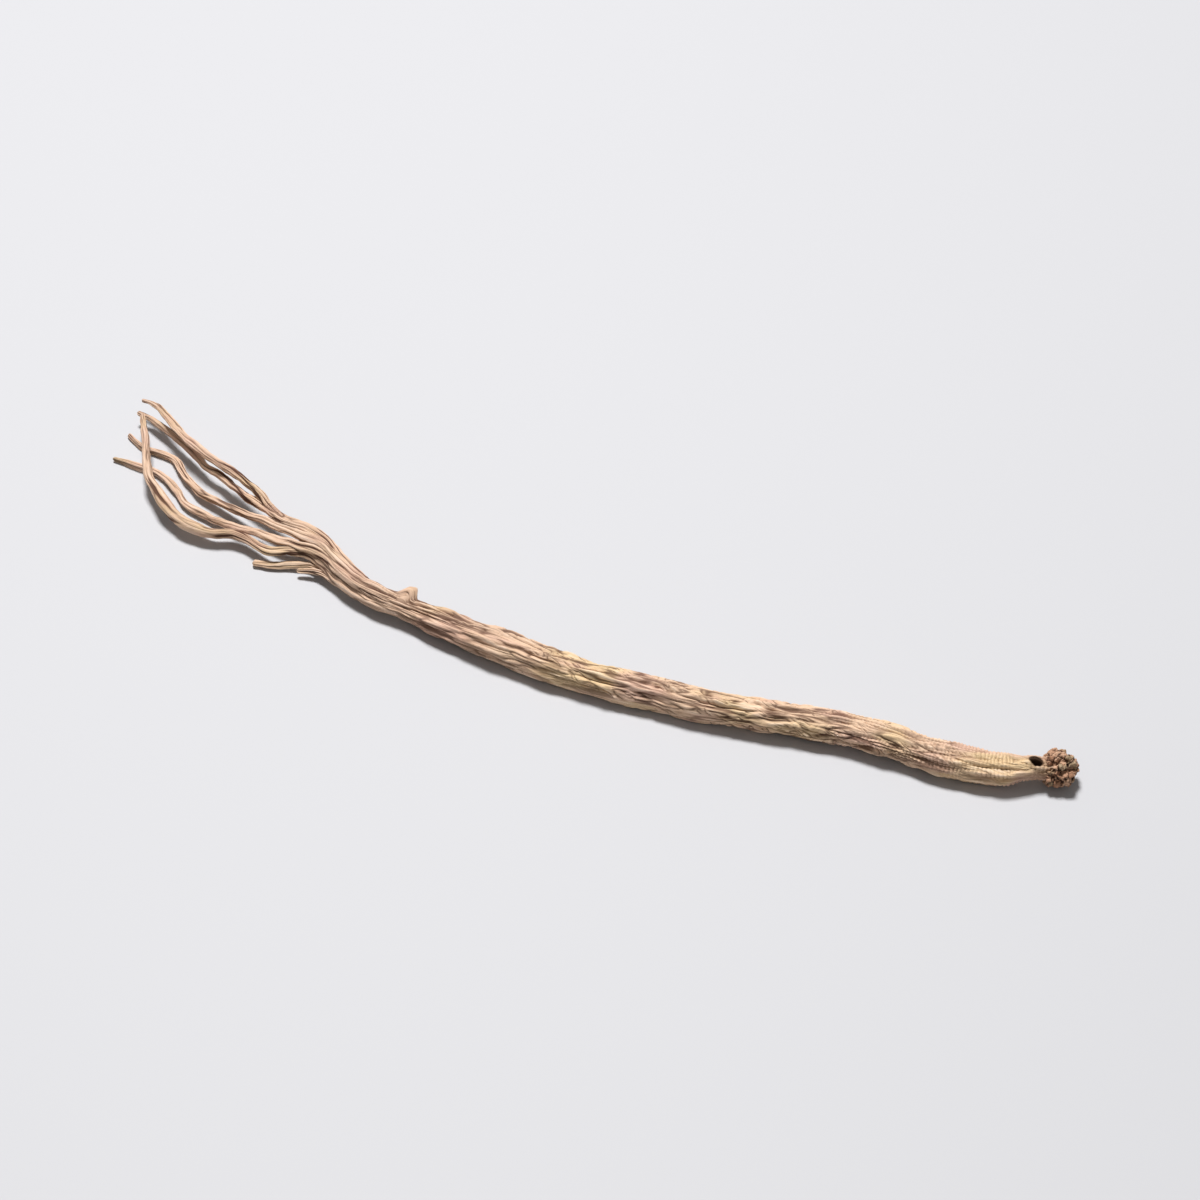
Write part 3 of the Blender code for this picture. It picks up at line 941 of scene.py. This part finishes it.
def cells(place, size, feature="DISTANCE_TO_EDGE", out=0):
    """Cells like packed pebbles, about as wide as the size."""
    scaled = vector_math("SCALE", place, 1.0 / size)
    sockets = {"Vector": scaled, "Scale": 1.0}
    return Wire.add(place.tree, "ShaderNodeTexVoronoi", {"feature": feature}, sockets, out)


def pebbles(place, size):
    """Round lumps: 1 on their tops and 0 along the gaps between them."""
    return 1.0 - (1.0 - (cells(place, size) * 3.0).least(1.0)) ** 2.0


def roughened_tree():
    """A node tree that covers a clump with small lumps with deep gaps between them, and stores
    what its colours need."""
    tree, given = tree_taking("roughened_clump", "Clump", "Clump", ["Gap depth"])
    place = Wire.add(tree, "GeometryNodeInputPosition")
    facing = Wire.add(tree, "GeometryNodeInputNormal")
    ragged = wander(place, (1.6, 1.6, 1.6), (1.1, 1.1, 1.1))
    grit = noise(ragged, (0.8, 0.8, 0.8), 2.0).rise(0.3, 0.6)
    relief = pebbles(ragged, 2.4) * 0.6 + pebbles(ragged, 1.2) * 0.22 + grit * 0.18
    outward = vector_math("NORMALIZE", vector_math("SUBTRACT", place, HEAD_CENTRE))
    way = vector_math("NORMALIZE", vector_math("ADD", outward, facing))
    push = vector_math("SCALE", way, (relief - 0.85) * given["Gap depth"])
    clump = stored(given["Clump"], "grain", place, "FLOAT_VECTOR")
    clump = stored(clump, "lumps", relief)
    clump = stored(clump, "known", 1.0)
    sockets = {"Geometry": clump, "Offset": push}
    return giving(Wire.add(tree, "GeometryNodeSetPosition", {}, sockets))


def knob_colour(grain, *_):
    """Buff and brown with a little grey, gritty, and with painted shade in the gaps between the
    lumps.
    """
    shares = parts_of(cells(grain, 2.4, "F1", 1))
    colour = blend(shares[0].rise(0.2, 0.9), tint(*KNOB_BUFF), tint(*KNOB_BROWN), "RGBA")
    colour = blend(shares[1].rise(0.7, 0.9) * 0.7, colour, tint(*KNOB_GREY), "RGBA")
    grit = noise(grain, (0.7, 0.7, 0.7), 2.0, 0.6).rise(0.38, 0.70)
    colour = blend(grit * 0.5, colour, tint(*GRIT_BROWN), "RGBA")
    # Painted shade in the gaps between the lumps.
    gaps = attribute(grain.tree, "lumps").rise(0.66, 0.20)
    colour = blend(gaps * 0.95, colour, tint(*GAP_SHADE), "RGBA")
    return hollows_shaded(colour)


knob = object_from(turned_knob(), "knob")
rows = list(knob_rows())
points = bpy.data.meshes.new("root_head")
points.from_pydata([place for place, way, half in rows], [], [])
points.attributes.new("way", "FLOAT_VECTOR", "POINT")
points.attributes.new("size", "FLOAT", "POINT")
for k, (place, way, half) in enumerate(rows):
    points.attributes["way"].data[k].vector = way
    points.attributes["size"].data[k].value = half
head = bpy.data.objects.new("root_head", points)
stage_collection.objects.link(head)
with_inputs(head, clump_tree(knob), {"Core half": HEAD_CORE_HALF})
fused = head.modifiers.new("fused", "REMESH")
fused.mode = "VOXEL"
fused.voxel_size = HEAD_VOXEL
with_inputs(head, roughened_tree(), {"Gap depth": GAP_DEPTH})
head_skin = dried_material("warty_head_skin", skin_relief, knob_colour)
head_finish = finishing_tree("finished_head", head_skin)
head = made_solid(with_inputs(head, head_finish, {"Seam softness": 0.0}))
bpy.data.objects.remove(knob)
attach(head, "root")
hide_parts("root")


# The surface below is pale and plain. The light is soft: one lamp high above the root, a little
# behind it and to its left, a faint wide one on the near side, and dim light from all round.
FLOOR_HALF = 3.0
FLOOR_GREY = (0.55, 0.55, 0.57, 1.0)
LAMPS = (  # the name, place, width and power of each
    ("key", (-0.4, 0.6, 2.15), 0.5, 65.0),
    ("fill", (0.6, -1.6, 1.4), 1.6, 0.8),
)
ROOM_WHITE = (1.0, 0.99, 0.97, 1.0)
ROOM_STRENGTH = 0.20

floor_mesh = bmesh.new()
bmesh.ops.create_grid(floor_mesh, x_segments=1, y_segments=1, size=FLOOR_HALF)
floor = object_from(floor_mesh, "floor")
paint = bpy.data.materials.new("pale_floor")
paint.use_nodes = True
floor_shader = paint.node_tree.nodes["Principled BSDF"]
floor_shader.inputs["Base Color"].default_value = FLOOR_GREY
floor_shader.inputs["Roughness"].default_value = 0.6
floor.data.materials.append(paint)
floor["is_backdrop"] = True

for name, place, width, power in LAMPS:
    lamp = bpy.data.objects.new(name, bpy.data.lights.new(name, "AREA"))
    lamp.data.size = width
    lamp.data.energy = power
    lamp.location = place
    lamp.rotation_euler = Vector(place).to_track_quat("Z", "Y").to_euler()
    stage_collection.objects.link(lamp)
room = bpy.data.worlds.new("room")
room.use_nodes = True
room.node_tree.nodes["Background"].inputs["Color"].default_value = ROOM_WHITE
room.node_tree.nodes["Background"].inputs["Strength"].default_value = ROOM_STRENGTH
bpy.context.scene.world = room

boxes = [[list(corner) for corner in box] for box in (solid_box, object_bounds())]
